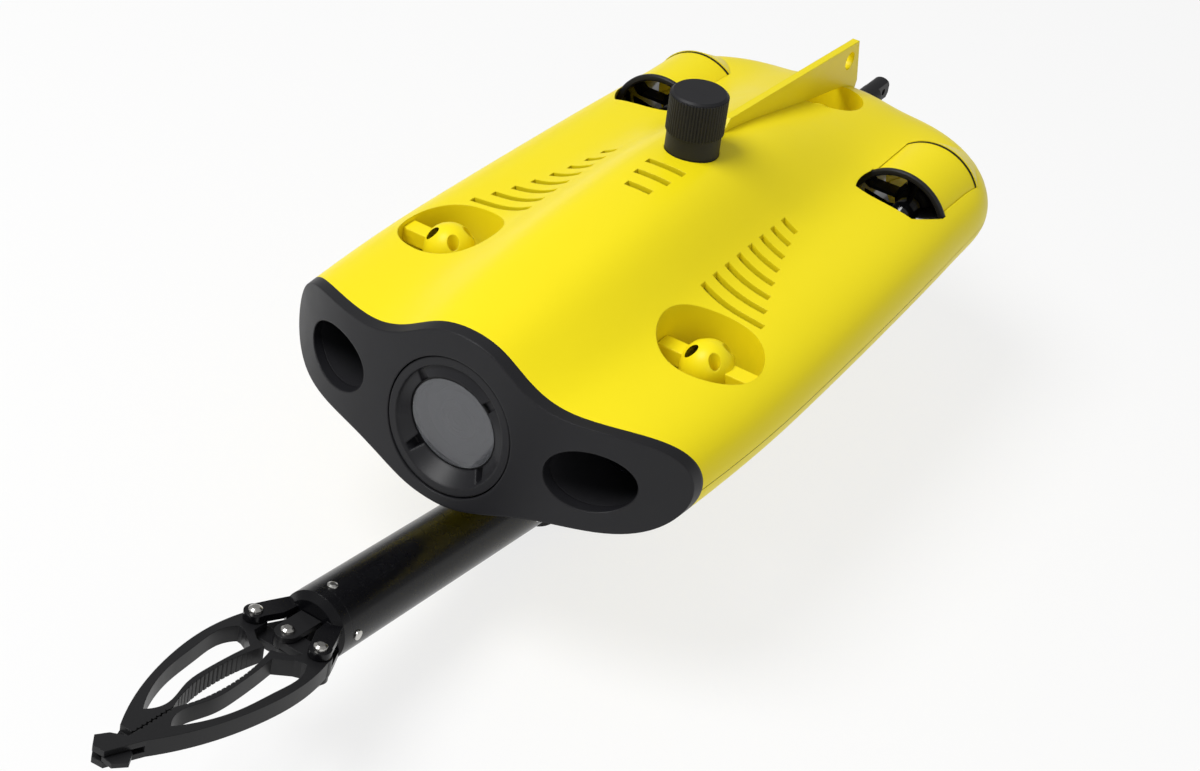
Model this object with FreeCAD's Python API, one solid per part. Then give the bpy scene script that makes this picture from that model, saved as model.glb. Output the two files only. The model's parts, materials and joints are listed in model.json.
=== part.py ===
import FreeCAD, Part
import math
import os
from FreeCAD import Placement, Rotation, Vector

# Compact underwater inspection ROV: a two-shell float hull with a black nose panel, three
# vertical and two horizontal thrusters, and a gripper arm hung under the belly.
# Millimetres. +X is forward, +Y is port, +Z is up. While it is built, the origin is the centre of
# the camera window; on export the vehicle moves so that the origin is the centre of its footprint.

# ---- driving dimensions: hull ----
HULL_HALF_WIDTH = 113.5     # widest place, at HULL_WIDEST_X
HULL_WIDEST_X = -120.0
NOSE_X = 14.0               # the loft starts ahead of the nose and is trimmed by the nose panel
TAIL_START = -322.0         # the plan starts to round off towards the tail
TAIL_ROUND = 60.0
SEAM_Z = 1.0                # parting plane of the two shells
SEAM_GAP = 0.3
SHOULDER_Z = 28.0
RIDGE_RISE = 33.5
RIDGE_PEAK_X = -185.0
BELLY_SIDE_Z = -22.0
BELLY_DROP = 21.0
SHELL_WALL = 3.0
# ---- nose panel, camera and lights ----
FACE_X = 4.35               # nose surface at the centre line
FACE_SWEEP = 23.0           # how far the surface falls back at 100 mm from the centre line
FACE_POWER = 3.07
FACE_RAKE = 0.166           # the surface leans back by this much per millimetre of height
PANEL_WALL = 6.0
BEZEL_RADIUS = 32.7
BEZEL_FIT = 0.2
COLLAR_RADIUS = 36.0        # sleeve on the back of the panel, round the bezel
COLLAR_REAR_X = -12.0
WINDOW_RADIUS = 22.1
LIGHT_Y = 69.0
LIGHT_Z = 1.5
LIGHT_HALF_WIDTH = 20.0
LIGHT_HALF_HEIGHT = 14.0
LIGHT_DEPTH_X = -52.0
# ---- thrusters ----
FRONT_TUNNEL = (-93.0, 73.0)
REAR_TUNNEL = (-333.0, 0.0)
FRONT_BORE = 25.3
REAR_BORE = 23.5
TUNNEL_WALL = 2.5
DUCT_Y = 73.8
DUCT_Z = 6.5
DUCT_RADIUS = 28.1
DUCT_WALL = 2.2
DUCT_FRONT_X = -286.8
RING_SEAT = DUCT_RADIUS + 1.6
RING_SEAT_X = DUCT_FRONT_X + 1.2
DUCT_SEAM_X = -329.8
DUCT_REAR_X = -330.6
NOZZLE_THROAT_X = -354.0
NOZZLE_RADIUS = 18.5
NOZZLE_Z = 2.5
NOZZLE_WALL = 3.0
SHAFT_RADIUS = 1.5
SHAFT_FIT = 0.08
PROPELLER_GAP = 1.5         # between a motor's face and the hub
# ---- ports, pressure hull and fin ----
KNOB_X = -188.3
KNOB_TOP_Z = 92.6
KNOB_RADIUS = 14.5
KNOB_BASE_Z = 62.0
KNOB_STEP_Z = 72.0
NECK_RADIUS = 9.0
REAR_PORT_Z = 9.0
REAR_CAP_END_X = -420.0
REAR_NECK_RADIUS = 4.0
PRESSURE_RADIUS = 27.0
PRESSURE_Z = 8.0
PRESSURE_FRONT_X = -62.0
PRESSURE_REAR_X = -300.0
FIN_THICKNESS = 4.2
FIN_EYE = (-358.5, 48.3)
FIN_EYE_RADIUS = 5.2
# ---- arm: built along +X about its own axis, then pitched up and hung under the hull ----
ARM_POINT = (60.0, 0.0, -59.9)
ARM_PITCH = 9.38
TUBE_RADIUS = 16.5
TUBE_WALL = 1.6
TUBE_FRONT = 27.0
TUBE_REAR = -122.0
ARM_BODY_REAR = -186.0
PIVOT_X = 51.0
PIVOT_Y = 17.5
JAW_HALF = 4.0              # half of the jaws' height
JAW_OPEN = 25.0             # degrees from shut to open
PIN_RADIUS = 2.0
PIVOT_FIT = 0.08
ROD_RADIUS = 4.0
ROD_PIN_RADIUS = 1.8
LAYER_GAP = 0.35            # clearance between the stacked layers of the gripper

X_AXIS = Vector(1, 0, 0)
Y_AXIS = Vector(0, 1, 0)
Z_AXIS = Vector(0, 0, 1)
SIDES = {"port": 1, "starboard": -1}
NODES = {}
os.makedirs("parts", exist_ok=True)


# ---------------------------------------------------------------- small helpers
def cylinder(radius, start, end):
    """A round bar from one point to another."""
    a, b = Vector(*start), Vector(*end)
    return Part.makeCylinder(radius, (b - a).Length, a, b - a)


def tube(outer, inner, start, end):
    return cylinder(outer, start, end).cut(cylinder(inner, start, end))


def box(x0, x1, y0, y1, z0, z1):
    return Part.makeBox(x1 - x0, y1 - y0, z1 - z0, Vector(x0, y0, z0))


def prism(points, direction):
    """A flat outline of (x, y, z) points, pushed along a direction."""
    corners = [Vector(*p) for p in points]
    return Part.Face(Part.makePolygon(corners + corners[:1])).extrude(Vector(*direction))


def revolve_x(profile, y=0.0, z=0.0):
    """A closed (x, radius) outline turned about an axis along X."""
    corners = [Vector(x, 0, r) for x, r in profile]
    solid = Part.Face(Part.makePolygon(corners + corners[:1])).revolve(Vector(), X_AXIS, 360)
    solid.translate(Vector(0, y, z))
    return solid


def revolve_z(profile, x=0.0, y=0.0):
    """A closed (radius, z) outline turned about an axis along Z."""
    corners = [Vector(r, 0, z) for r, z in profile]
    solid = Part.Face(Part.makePolygon(corners + corners[:1])).revolve(Vector(), Z_AXIS, 360)
    solid.translate(Vector(x, y, 0))
    return solid


def ellipse_bar(half_width, half_height, y, z, x0, x1):
    """An elliptical bar along X."""
    centre = Vector(x0, y, z)
    edge = Part.Ellipse(centre + Vector(0, half_width, 0), centre + Vector(0, 0, half_height), centre)
    return Part.Face(Part.Wire(edge.toShape())).extrude(Vector(x1 - x0, 0, 0))


def fuse(shapes):
    result = shapes[0]
    for shape in shapes[1:]:
        result = result.fuse(shape)
    return result


def spin(shape, count, axis, centre=Vector()):
    """The shape repeated evenly about an axis."""
    copies = []
    for i in range(count):
        copy = shape.copy()
        copy.rotate(centre, axis, 360.0 * i / count)
        copies.append(copy)
    return copies


def add(name, shape):
    NODES[name] = shape


# ---------------------------------------------------------------- hull surface
def half_width(x):
    """Half of the hull's width: full amidships, slightly narrower at the nose and at the stern."""
    if x > HULL_WIDEST_X:
        return HULL_HALF_WIDTH - 8.0 * ((x - HULL_WIDEST_X) / 120.0) ** 2
    return HULL_HALF_WIDTH - 4.5 * ((HULL_WIDEST_X - x) / 206.0) ** 2


def tail_factors(x):
    """How far the plan and the depth have closed in at the stern, 1 where they haven't."""
    t = max(0.0, (TAIL_START - x) / TAIL_ROUND)
    return (1 - t ** 2.3) ** (1 / 2.3), (1 - t ** 3.5) ** (1 / 3.5)


def ridge_rise(x):
    reach = 237.0 if x > RIDGE_PEAK_X else 134.0
    return RIDGE_RISE * math.exp(-((x - RIDGE_PEAK_X) / reach) ** 2)


def section_heights(x, u):
    """Top and bottom of the hull's section at station x, at the fraction u of its half width."""
    depth = tail_factors(x)[1]
    blend = math.exp(min(x, 0.0) / 40.0)
    side = math.sqrt(max(0.0, 1 - u ** (7.0 + 2.4 * blend)))
    ridge = math.exp(-(u / (0.39 - 0.09 * blend)) ** (3.0 - 0.6 * blend))
    keel = math.exp(-(u / 0.36) ** 2.2) * math.exp(-((x + 120.0) / 240.0) ** 2)
    shoulder = SHOULDER_Z - 2.0 * blend - SEAM_Z
    top = SEAM_Z + depth * (shoulder * side + ridge_rise(x) * ridge)
    bottom = SEAM_Z - depth * ((SEAM_Z - BELLY_SIDE_Z) * side + BELLY_DROP * keel)
    return top, bottom


def section(x, inset):
    """One closed hull section. A positive inset gives the inside of the shell."""
    steps = 10
    wide = half_width(x) * tail_factors(x)[0] - inset
    quarter = [math.sin(math.radians(90.0 * i / steps)) for i in range(steps + 1)]
    upper, lower = [], []
    for u in quarter:
        top, bottom = section_heights(x, u)
        level = (1 - u) ** 0.5 if u < 1 else 0.0
        upper.append((wide * u, top - inset * min(1.0, 2 * level)))
        lower.append((wide * u, bottom + inset * min(1.0, 2 * level)))
    ring = lower + upper[-2::-1]
    ring += [(-y, z) for y, z in upper[1:]] + [(-y, z) for y, z in lower[-2:0:-1]]
    curve = Part.BSplineCurve()
    curve.interpolate([Vector(x, y, z) for y, z in ring], PeriodicFlag=True)
    return Part.Wire(curve.toShape())


def hull_loft(inset, tail_trim):
    stations = [NOSE_X, -10, -35, -65, -100, -140, -185, -230, -275, -305]
    stations += [TAIL_START - (TAIL_ROUND - tail_trim) * math.sin(math.radians(a))
                 for a in (0, 22, 40, 55, 67, 80)]
    return Part.makeLoft([section(x, inset) for x in stations], True, False)


def nose_region(setback):
    """Everything ahead of the nose surface, moved back by the setback."""
    low, high, reach = -100.0, 120.0, 130.0
    steps = 20
    points = []
    for i in range(steps + 1):
        y = reach * (2.0 * i / steps - 1)
        x = FACE_X - FACE_SWEEP * (abs(y) / 100.0) ** FACE_POWER - FACE_RAKE * low
        points.append(Vector(x - setback, y, low))
    curve = Part.BSplineCurve()
    curve.interpolate(points)
    front = [Vector(90, reach, low), Vector(90, -reach, low)]
    rest = Part.makePolygon([points[-1]] + front + [points[0]])
    face = Part.Face(Part.Wire([curve.toShape()] + rest.Edges))
    return face.extrude(Vector(-FACE_RAKE * (high - low), 0, high - low))


def top_of_hull(x, y):
    wide = half_width(x) * tail_factors(x)[0]
    return section_heights(x, min(1.0, abs(y) / wide))[0]


def bottom_of_hull(x, y):
    wide = half_width(x) * tail_factors(x)[0]
    return section_heights(x, min(1.0, abs(y) / wide))[1]


# ---------------------------------------------------------------- hull shells
def scoop(side, grow, seat_end):
    """The inlet scoop: it opens out of the hull's shoulder and leads back to the seat of the duct's ring."""
    def circle(radius, x, y, z):
        return Part.Wire(Part.makeCircle(radius + grow, Vector(x, side * y, z), X_AXIS))
    circles = [circle(RING_SEAT, seat_end, DUCT_Y, DUCT_Z), circle(RING_SEAT, RING_SEAT_X, DUCT_Y, DUCT_Z),
               circle(17.0, -266.0 + grow, DUCT_Y, 26.5)]
    return Part.makeLoft(circles, True, True)


def nozzle(side, grow):
    """The outlet behind the duct: it narrows and sinks into the tail, and leaves through its rim."""
    def circle(radius, x, z):
        return Part.Wire(Part.makeCircle(radius + grow, Vector(x, side * DUCT_Y, z), X_AXIS))
    circles = [circle(DUCT_RADIUS - DUCT_WALL, DUCT_REAR_X, DUCT_Z),
               circle(NOZZLE_RADIUS, NOZZLE_THROAT_X, NOZZLE_Z), circle(NOZZLE_RADIUS, -398.0, NOZZLE_Z)]
    return Part.makeLoft(circles, True, True)


def tunnel(centre, radius, low=-80.0, high=80.0):
    return cylinder(radius, (centre[0], centre[1], low), (centre[0], centre[1], high))


def tunnel_list():
    x, y = FRONT_TUNNEL
    return [((x, y), FRONT_BORE), ((x, -y), FRONT_BORE), (REAR_TUNNEL, REAR_BORE)]


def duct_bar(side, radius, x0, x1):
    return cylinder(radius, (x0, side * DUCT_Y, DUCT_Z), (x1, side * DUCT_Y, DUCT_Z))


def pressure_bar(radius, x0=PRESSURE_REAR_X, x1=PRESSURE_FRONT_X):
    return cylinder(radius, (x0, 0, PRESSURE_Z), (x1, 0, PRESSURE_Z))


def fin():
    """The stabilising fin on the ridge, with the lifting eye near its trailing edge."""
    half = FIN_THICKNESS / 2
    root = [(x, top_of_hull(x, 0) - 1.5) for x in (-214, -250, -285, -312)]
    root += [(-350, 31.0), (-372.5, 26.0)]
    crest = [(-374.0, 31.0), (-366.8, 57.5), (-364.5, 57.5), (-222.0, 65.5)]
    blade = prism([(x, -half, z) for x, z in root + crest], (0, FIN_THICKNESS, 0))
    eye = cylinder(FIN_EYE_RADIUS, (FIN_EYE[0], -10, FIN_EYE[1]), (FIN_EYE[0], 10, FIN_EYE[1]))
    return blade.cut(eye)


def slot(x, y0, y1, width, z0, z1):
    """A slot across the hull."""
    return box(x - width / 2, x + width / 2, y0, y1, z0, z1)


def vent_slots():
    cuts = []
    for i in range(8):
        length = 34.0 - 5.0 * i + 0.19 * i * i
        x = -124.0 - 11.0 * i
        cuts += [slot(x, 49, 49 + length, 4.0, 12, 70), slot(x, -49 - length, -49, 4.0, 12, 70)]
    cuts += [slot(-140.0 - 12.0 * i, -reach, reach, 4.0, 45, 70) for i, reach in enumerate((7.0, 9.5, 10.5))]
    return Part.makeCompound(cuts)


def hull_shells():
    outer = hull_loft(0.0, 0.0)
    collars = [nozzle(side, NOZZLE_WALL).common(box(NOZZLE_THROAT_X, DUCT_REAR_X, -120, 120, -60, 60))
               for side in (1, -1)]
    body = fuse([outer] + collars)
    inner = hull_loft(SHELL_WALL, SHELL_WALL)
    walls = [tunnel(c, r + TUNNEL_WALL) for c, r in tunnel_list()]
    walls += [scoop(side, 2.2, DUCT_FRONT_X - 6) for side in (1, -1)]
    walls += [nozzle(side, NOZZLE_WALL) for side in (1, -1)]
    shell = body.cut(inner)
    for wall in walls:
        shell = shell.fuse(wall.common(body))
    bores = [tunnel(c, r) for c, r in tunnel_list()]
    bores += [scoop(side, 0.0, DUCT_FRONT_X - 2.4) for side in (1, -1)]
    bores += [duct_bar(side, DUCT_RADIUS + 0.3, DUCT_FRONT_X - 1, DUCT_REAR_X) for side in (1, -1)]
    bores += [nozzle(side, 0.0) for side in (1, -1)]
    for bore in bores:
        shell = shell.cut(bore)
    shell = shell.cut(nose_region(PANEL_WALL))
    shell = shell.cut(cylinder(COLLAR_RADIUS + SEAM_GAP, (COLLAR_REAR_X - SEAM_GAP, 0, 0), (40, 0, 0)))
    top = shell.common(box(-450, 50, -150, 150, SEAM_Z + SEAM_GAP / 2, 150))
    low = shell.common(box(-450, 50, -150, 150, -150, SEAM_Z - SEAM_GAP / 2))
    return outer, inner, top, low


outer_hull, inner_hull, upper, lower = hull_shells()

knob_hole = cylinder(13.7, (KNOB_X, 0, 40), (KNOB_X, 0, 80))
rear_hole = cylinder(6.8, (-350, 0, REAR_PORT_Z), (-400, 0, REAR_PORT_Z))
upper = upper.cut(vent_slots()).cut(knob_hole).cut(rear_hole)
add("upper_shell", upper.removeSplitter())
add("tail_fin", fin().cut(outer_hull))

# cradle ribs under the pressure hull, and drain slots in the belly
ribs = [box(x - 2, x + 2, -24, 24, -60, -2).common(inner_hull) for x in (-80, -170, -285)]
drains = [slot(-160.0 - 14.0 * i, side * 38 - 10, side * 38 + 10, 4.0, -60, -10)
          for i in range(4) for side in (1, -1)]
lower = fuse([lower] + ribs).cut(pressure_bar(PRESSURE_RADIUS)).cut(Part.makeCompound(drains)).cut(rear_hole)
add("lower_shell", lower.removeSplitter())

# ---------------------------------------------------------------- nose panel and lights
panel = outer_hull.cut(nose_region(0.0)).common(nose_region(PANEL_WALL))
collar = cylinder(COLLAR_RADIUS, (COLLAR_REAR_X, 0, 0), (40, 0, 0)).common(outer_hull)
panel = panel.fuse(collar.cut(nose_region(0.0)))
panel = panel.cut(cylinder(BEZEL_RADIUS + BEZEL_FIT, (COLLAR_REAR_X - 1, 0, 0), (40, 0, 0)))
for side in (1, -1):
    panel = panel.cut(ellipse_bar(LIGHT_HALF_WIDTH, LIGHT_HALF_HEIGHT, side * LIGHT_Y, LIGHT_Z, -60, 40))
add("front_panel", panel)

for name, side in SIDES.items():
    y = side * LIGHT_Y
    shell = ellipse_bar(LIGHT_HALF_WIDTH + 2.2, LIGHT_HALF_HEIGHT + 2.2, y, LIGHT_Z, LIGHT_DEPTH_X, 10)
    shell = shell.cut(ellipse_bar(LIGHT_HALF_WIDTH, LIGHT_HALF_HEIGHT, y, LIGHT_Z, LIGHT_DEPTH_X + 3, 10))
    add("light_housing_" + name, shell.cut(nose_region(PANEL_WALL)))
    lens_x = LIGHT_DEPTH_X + 15
    lens = ellipse_bar(LIGHT_HALF_WIDTH - 0.2, LIGHT_HALF_HEIGHT - 0.2, y, LIGHT_Z, lens_x, lens_x + 2)
    add("light_lens_" + name, lens)
    chips = [cylinder(3.2, (LIGHT_DEPTH_X + 3, y + k, LIGHT_Z), (LIGHT_DEPTH_X + 5, y + k, LIGHT_Z))
             for k in (-8, 8)]
    plate = ellipse_bar(LIGHT_HALF_WIDTH - 0.2, LIGHT_HALF_HEIGHT - 0.2, y, LIGHT_Z,
                        LIGHT_DEPTH_X + 3, LIGHT_DEPTH_X + 3.8)
    add("light_board_" + name, fuse([plate] + chips))

# ---------------------------------------------------------------- camera
bezel = revolve_x([(-12, BEZEL_RADIUS), (1.8, BEZEL_RADIUS), (4.3, BEZEL_RADIUS - 2.5), (4.3, 28.8),
                   (0.5, WINDOW_RADIUS + 0.8), (-2.6, WINDOW_RADIUS + 0.8), (-2.6, 20.2), (-12, 20.2)])
notch = cylinder(2.3, (-1.5, 0, 26.2), (6, 0, 26.2))
notch.rotate(Vector(), X_AXIS, 45)
for cut in spin(notch, 4, X_AXIS):
    bezel = bezel.cut(cut)
add("camera_bezel", bezel)
add("camera_window", cylinder(WINDOW_RADIUS, (-2.5, 0, 0), (0, 0, 0)))
add("window_seal", tube(WINDOW_RADIUS + 0.75, WINDOW_RADIUS + 0.05, (-2.5, 0, 0), (-0.3, 0, 0)))
add("camera_module", revolve_x([(PRESSURE_FRONT_X, 0), (PRESSURE_FRONT_X, 24), (-12, 24), (-12, 20),
                                (-9, 20), (-9, 15), (-5.5, 15), (-5.5, 11), (-7.5, 9.5), (-7.5, 0)]))

# ---------------------------------------------------------------- pressure hull and what it holds
pressure = pressure_bar(PRESSURE_RADIUS).cut(pressure_bar(PRESSURE_RADIUS - 2.5, PRESSURE_REAR_X + 6,
                                                          PRESSURE_FRONT_X - 6))
add("pressure_hull", pressure)
pack_low = PRESSURE_Z - math.sqrt((PRESSURE_RADIUS - 2.5) ** 2 - 15 ** 2)
add("battery_pack", box(-250, -110, -15, 15, pack_low, pack_low + 26))
add("control_board", box(-240, -120, -17, 17, pack_low + 26, pack_low + 27.6))

# ---------------------------------------------------------------- screw caps of the two ports
socket = revolve_z([(0, 30), (12, 30), (12, 59.4), (13.4, 59.4), (13.4, 61.7), (NECK_RADIUS, 61.7),
                    (NECK_RADIUS, 84), (5, 84), (5, 66), (0, 66)], KNOB_X)
add("top_port_socket", socket.cut(pressure_bar(PRESSURE_RADIUS)))

ribs_on_cap = 56
ring = []
for i in range(ribs_on_cap):
    for part, radius in ((0.0, KNOB_RADIUS - 0.55), (0.35, KNOB_RADIUS), (0.65, KNOB_RADIUS)):
        a = 2 * math.pi * (i + part) / ribs_on_cap
        ring.append((KNOB_X + radius * math.cos(a), radius * math.sin(a), KNOB_STEP_Z))
grip = prism(ring, (0, 0, KNOB_TOP_Z - 1.4 - KNOB_STEP_Z))
crown = revolve_z([(0, KNOB_TOP_Z - 2), (KNOB_RADIUS - 0.6, KNOB_TOP_Z - 2), (KNOB_RADIUS - 0.6, KNOB_TOP_Z - 1.0),
                   (KNOB_RADIUS - 1.6, KNOB_TOP_Z), (0, KNOB_TOP_Z)], KNOB_X)
grip = grip.fuse(crown)
collar = cylinder(KNOB_RADIUS - 0.9, (KNOB_X, 0, KNOB_BASE_Z), (KNOB_X, 0, KNOB_STEP_Z + 1))
cap_bore = cylinder(NECK_RADIUS + SHAFT_FIT, (KNOB_X, 0, KNOB_BASE_Z), (KNOB_X, 0, 84.6))
add("top_port_cap", grip.fuse(collar).cut(cap_bore).removeSplitter())

rear_socket = revolve_x([(-359, 0), (-359, 6.5), (-383.6, 6.5), (-383.6, REAR_NECK_RADIUS),
                         (-398, REAR_NECK_RADIUS), (-398, 0)], 0, REAR_PORT_Z)
rear_socket = rear_socket.cut(tunnel(REAR_TUNNEL, REAR_BORE + TUNNEL_WALL))
add("rear_port_socket", rear_socket)
rear_cap = revolve_x([(-384, REAR_NECK_RADIUS + SHAFT_FIT), (-384, 5.6), (-386, 6.4), (-406, 6.4),
                      (REAR_CAP_END_X + 2, 6.4), (REAR_CAP_END_X, 4.6), (REAR_CAP_END_X, 0), (-398.5, 0),
                      (-398.5, REAR_NECK_RADIUS + SHAFT_FIT)], 0, REAR_PORT_Z)
for side in (1, -1):
    rear_cap = rear_cap.cut(box(REAR_CAP_END_X - 1, -405, side * 7 - 3, side * 7 + 3, -10, 30))
lanyard_hole = cylinder(2.0, (-413, -10, REAR_PORT_Z), (-413, 10, REAR_PORT_Z))
add("rear_port_cap", rear_cap.cut(lanyard_hole))


# ---------------------------------------------------------------- thrusters
def blade(root, tip, chord, root_angle, tip_angle):
    """One twisted propeller blade along +Z, for a shaft along +X."""
    sections = []
    for part in (0.0, 0.55, 1.0):
        r = root + (tip - root) * part
        angle = math.radians(root_angle + (tip_angle - root_angle) * part)
        c = chord * (0.62 + 0.9 * part - 0.75 * part ** 3) / 2
        thick = 1.1 - 0.4 * part
        along = Vector(math.sin(angle), math.cos(angle), 0)
        across = Vector(math.cos(angle), -math.sin(angle), 0)
        mid = Vector(0, 0, r)
        front, back = mid + along * c, mid - along * c
        bulge = Part.Arc(front, mid + across * thick, back).toShape()
        belly = Part.Arc(back, mid - across * thick, front).toShape()
        sections.append(Part.Wire([bulge, belly]))
    return Part.makeLoft(sections, True, False)


def propeller(tip, hub, length, nose, shaft, count):
    """Hub with a rounded nose towards +X, blades, and a shaft towards -X."""
    spinner = [(0, 0), (0, hub), (length, hub)]
    spinner += [(length + nose * math.sin(math.radians(a)), hub * math.cos(math.radians(a)))
                for a in (30, 55, 78)]
    spinner.append((length + nose, 0))
    body = revolve_x(spinner)
    one = blade(hub - 1.2, tip, 15.0, 62.0, 28.0)
    one.translate(Vector(length / 2, 0, 0))
    shapes = [body] + spin(one, count, X_AXIS) + [cylinder(SHAFT_RADIUS, (0.5, 0, 0), (-shaft, 0, 0))]
    return fuse(shapes)


def place_vertical(shape, centre, z):
    """Turn a thruster part built along +X to point down, and set it in its tunnel."""
    copy = shape.copy()
    copy.rotate(Vector(), Y_AXIS, 90)
    copy.translate(Vector(centre[0], centre[1], z))
    return copy


MOUNT_Z = 9.0
MOTOR_LENGTH = 14.0
MOTOR_RADIUS = 9.5


def vertical_mount(radius, turn):
    """Domed motor cover on three struts, built along +X: the dome points to -X."""
    dome = [(0, 0), (0, 12.5), (-8, 12.5)]
    dome += [(-8 - 9.5 * math.sin(math.radians(a)), 12.5 * math.cos(math.radians(a))) for a in (25, 50, 72)]
    dome.append((-17.5, 0))
    hub = revolve_x(dome)
    for hole in spin(cylinder(2.7, (-30, 0, 7.6), (-8, 0, 7.6)), 4, X_AXIS):
        hub = hub.cut(hole)
    strut = box(-5, 0, -4, 4, 11.5, radius - 0.15)
    mount = fuse([hub] + spin(strut, 3, X_AXIS))
    mount = mount.common(cylinder(radius - 0.15, (-40, 0, 0), (10, 0, 0)))
    mount.rotate(Vector(), X_AXIS, turn)
    return mount


def motor_body():
    """Can of a brushless motor, with the bore that the shaft runs in."""
    can = revolve_x([(0, 0), (0, MOTOR_RADIUS), (MOTOR_LENGTH - 1, MOTOR_RADIUS), (MOTOR_LENGTH, MOTOR_RADIUS - 1),
                     (MOTOR_LENGTH, 0)])
    return can.cut(cylinder(SHAFT_RADIUS + SHAFT_FIT, (3, 0, 0), (MOTOR_LENGTH + 1, 0, 0)))


vertical = {"front_port": (FRONT_TUNNEL, FRONT_BORE),
            "front_starboard": ((FRONT_TUNNEL[0], -FRONT_TUNNEL[1]), FRONT_BORE),
            "rear": (REAR_TUNNEL, REAR_BORE)}
for name, (centre, bore) in vertical.items():
    turn = {"front_port": 20, "front_starboard": -20, "rear": 60}[name]
    add("motor_mount_" + name, place_vertical(vertical_mount(bore, turn), centre, MOUNT_Z))
    add("motor_" + name, place_vertical(motor_body(), centre, MOUNT_Z))
    screw = propeller(bore - 1.5, 6.5, 8.0, 5.0, MOTOR_LENGTH - 4, 3)
    add("propeller_" + name, place_vertical(screw, centre, MOUNT_Z - MOTOR_LENGTH - PROPELLER_GAP))

DUCT_BORE = DUCT_RADIUS - DUCT_WALL
MOTOR_X = -322.0
STATOR_FIT = 0.1            # between the stator's vanes and the duct
for name, side in SIDES.items():
    y = side * DUCT_Y
    duct = tube(DUCT_RADIUS, DUCT_BORE, (DUCT_FRONT_X - 2.2, y, DUCT_Z), (DUCT_REAR_X, y, DUCT_Z))
    holder = tube(MOTOR_RADIUS + 2, MOTOR_RADIUS, (MOTOR_X + 1, y, DUCT_Z), (MOTOR_X + 10, y, DUCT_Z))
    vane = box(MOTOR_X + 1, MOTOR_X + 10, y - 1, y + 1, DUCT_Z + MOTOR_RADIUS + 1, DUCT_Z + DUCT_BORE + 1)
    vanes = spin(vane, 4, X_AXIS, Vector(0, y, DUCT_Z))
    groove = tube(DUCT_RADIUS + 1, DUCT_RADIUS - 0.6, (DUCT_SEAM_X - 0.7, y, DUCT_Z), (DUCT_SEAM_X + 0.7, y, DUCT_Z))
    add("duct_" + name, duct.cut(groove))
    inside = cylinder(DUCT_BORE - STATOR_FIT, (MOTOR_X, y, DUCT_Z), (MOTOR_X + 11, y, DUCT_Z))
    add("duct_stator_" + name, fuse([holder] + vanes).common(inside))
    add("duct_seal_" + name, tube(DUCT_RADIUS + 0.25, DUCT_RADIUS - 0.6, (DUCT_SEAM_X - 0.7, y, DUCT_Z),
                                  (DUCT_SEAM_X + 0.7, y, DUCT_Z)))
    rim = revolve_x([(DUCT_FRONT_X - 2.2, DUCT_BORE), (DUCT_FRONT_X - 2.2, DUCT_RADIUS + 1.3),
                     (DUCT_FRONT_X - 0.6, DUCT_RADIUS + 1.3), (DUCT_FRONT_X, DUCT_RADIUS + 0.6),
                     (DUCT_FRONT_X, DUCT_BORE + 0.8), (DUCT_FRONT_X - 0.6, DUCT_BORE)], y, DUCT_Z)
    add("duct_ring_" + name, rim)
    motor = motor_body()
    motor.translate(Vector(MOTOR_X, y, DUCT_Z))
    add("motor_" + name, motor)
    screw = propeller(DUCT_BORE - 1.4, 7.0, 9.0, 8.0, MOTOR_LENGTH - 4, 4)
    screw.translate(Vector(MOTOR_X + MOTOR_LENGTH + PROPELLER_GAP, y, DUCT_Z))
    add("propeller_" + name, screw)

# ---------------------------------------------------------------- arm
arm = {}


def ring_screws(station, count):
    """Button heads of the screws round the arm's tube, seated on its wall."""
    head = revolve_z([(0, TUBE_RADIUS - 1), (2.5, TUBE_RADIUS - 1), (2.3, TUBE_RADIUS + 0.7),
                      (1.3, TUBE_RADIUS + 1.2), (0, TUBE_RADIUS + 1.2)], station)
    wall = cylinder(TUBE_RADIUS, (station - 6, 0, 0), (station + 6, 0, 0))
    return spin(head.cut(wall), count, X_AXIS)


screws = Part.makeCompound(ring_screws(TUBE_FRONT - 3.5, 4) + ring_screws(TUBE_REAR + 6.5, 4))
arm["tube_screws"] = screws
arm["arm_tube"] = tube(TUBE_RADIUS, TUBE_RADIUS - TUBE_WALL, (TUBE_REAR, 0, 0), (TUBE_FRONT, 0, 0))

plug = TUBE_RADIUS - TUBE_WALL - 0.1
rear_body = revolve_x([(TUBE_REAR, 0), (TUBE_REAR, TUBE_RADIUS), (ARM_BODY_REAR + 6, TUBE_RADIUS),
                       (ARM_BODY_REAR + 2, TUBE_RADIUS - 1.8), (ARM_BODY_REAR, TUBE_RADIUS - 5), (ARM_BODY_REAR, 0)])
rear_body = rear_body.fuse(cylinder(plug, (TUBE_REAR, 0, 0), (TUBE_REAR + 14, 0, 0)))
gland_seat = cylinder(4.0, (ARM_BODY_REAR - 1, 0, 0), (ARM_BODY_REAR + 8, 0, 0))
arm["arm_motor_housing"] = rear_body.cut(gland_seat)
hexagon = [(ARM_BODY_REAR, 6.5 * math.cos(math.radians(60 * i)), 6.5 * math.sin(math.radians(60 * i)))
           for i in range(6)]
gland = prism(hexagon, (-4, 0, 0)).fuse(cylinder(4.0, (ARM_BODY_REAR, 0, 0), (ARM_BODY_REAR + 8, 0, 0)))
gland = gland.fuse(cylinder(4.6, (ARM_BODY_REAR - 4, 0, 0), (ARM_BODY_REAR - 9, 0, 0)))
arm["arm_cable_gland"] = gland.cut(cylinder(2.0, (ARM_BODY_REAR - 10, 0, 0), (ARM_BODY_REAR + 4, 0, 0)))

# gripper head: a plug in the tube's end, a front flange, and two forks that hold the pivots
PLATE_LOW = JAW_HALF + LAYER_GAP
PLATE_HIGH = PLATE_LOW + 3.4
HEAD_FRONT = 35.0


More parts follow.
